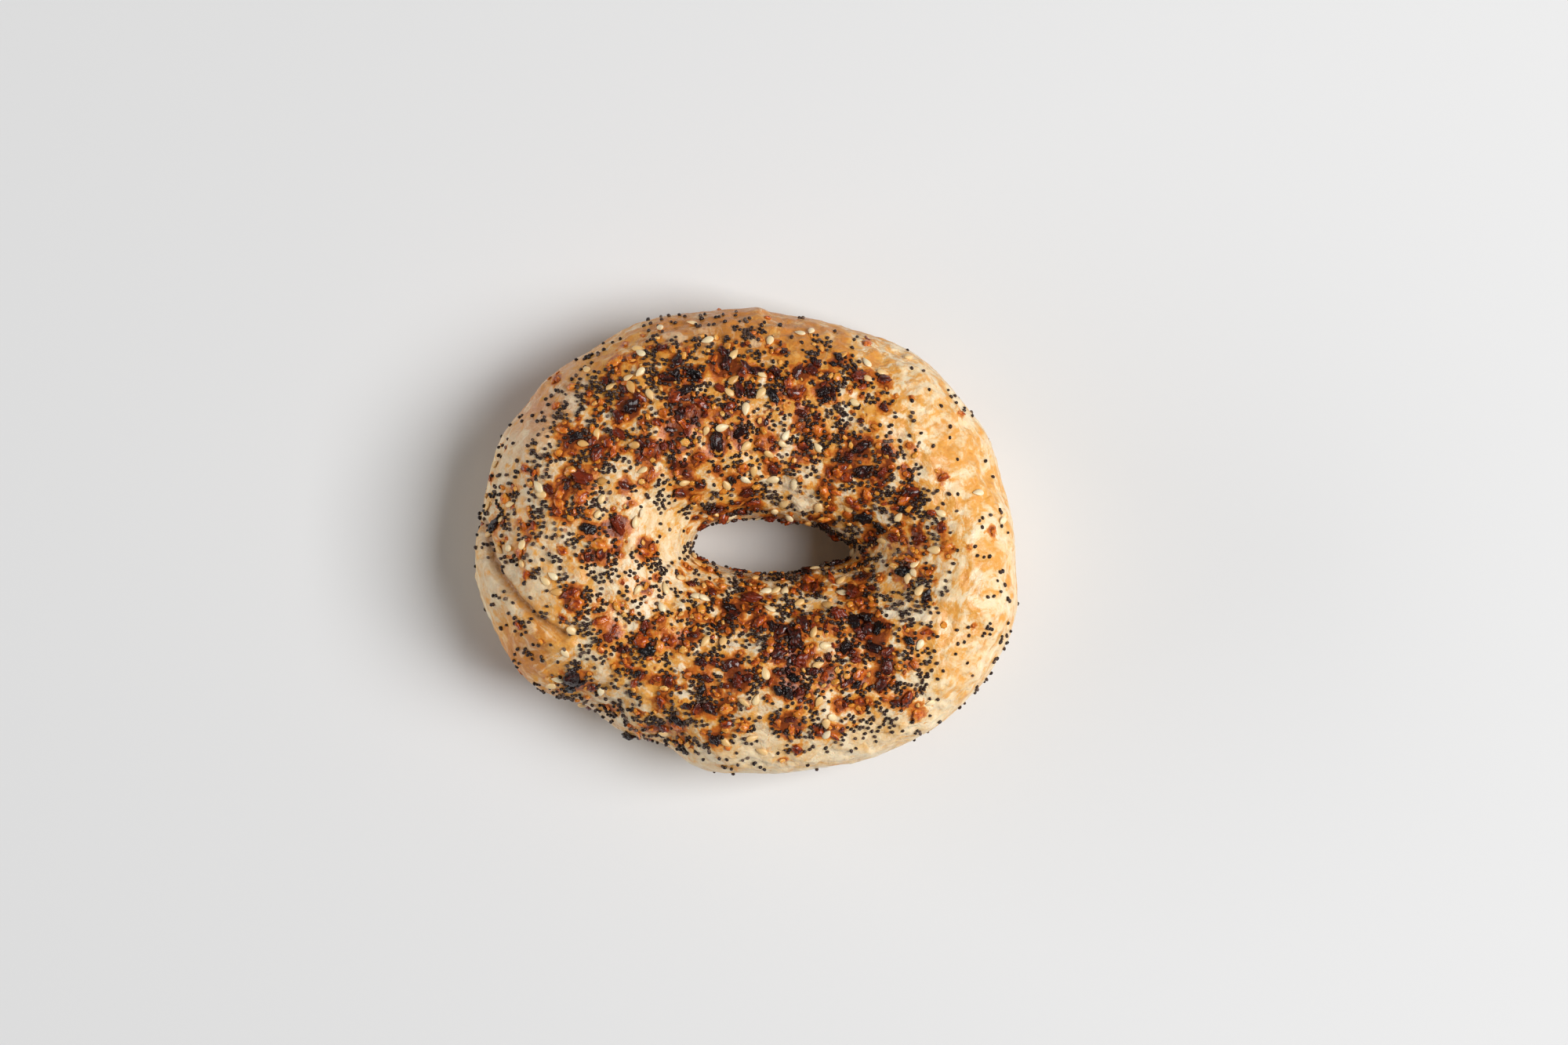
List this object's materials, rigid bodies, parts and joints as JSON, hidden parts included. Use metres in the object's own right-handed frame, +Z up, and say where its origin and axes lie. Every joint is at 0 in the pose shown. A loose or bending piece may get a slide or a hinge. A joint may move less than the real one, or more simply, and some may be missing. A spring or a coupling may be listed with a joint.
{
  "type": "everything bagel",
  "caption": "Hand-rolled ring of baked dough with a flat base, a domed seeded top and a long narrow hole.",
  "frame": {"origin": "on the table, under the middle of the bagel's box", "axes": "+X along the bagel's longer side, which is the picture's right, +Y across it, +Z up out of the seeded top"},
  "size_m": [0.1176, 0.1018, 0.0377],
  "materials": {
    "crust": "pale baked crust with golden blotches, satin",
    "poppy_seed": "blue-black poppy seed, pitted, slightly glossy",
    "sesame_seed": "ivory hulled sesame seed, satin",
    "dried_onion": "toasted onion flake, orange to deep brown, glossy",
    "dried_garlic": "toasted garlic granule, golden, glossy",
    "charred_onion": "burnt onion, nearly black, glossy"
  },
  "bodies": {
    "root": {"bagel": "crust"}
  },
  "joints": []
}
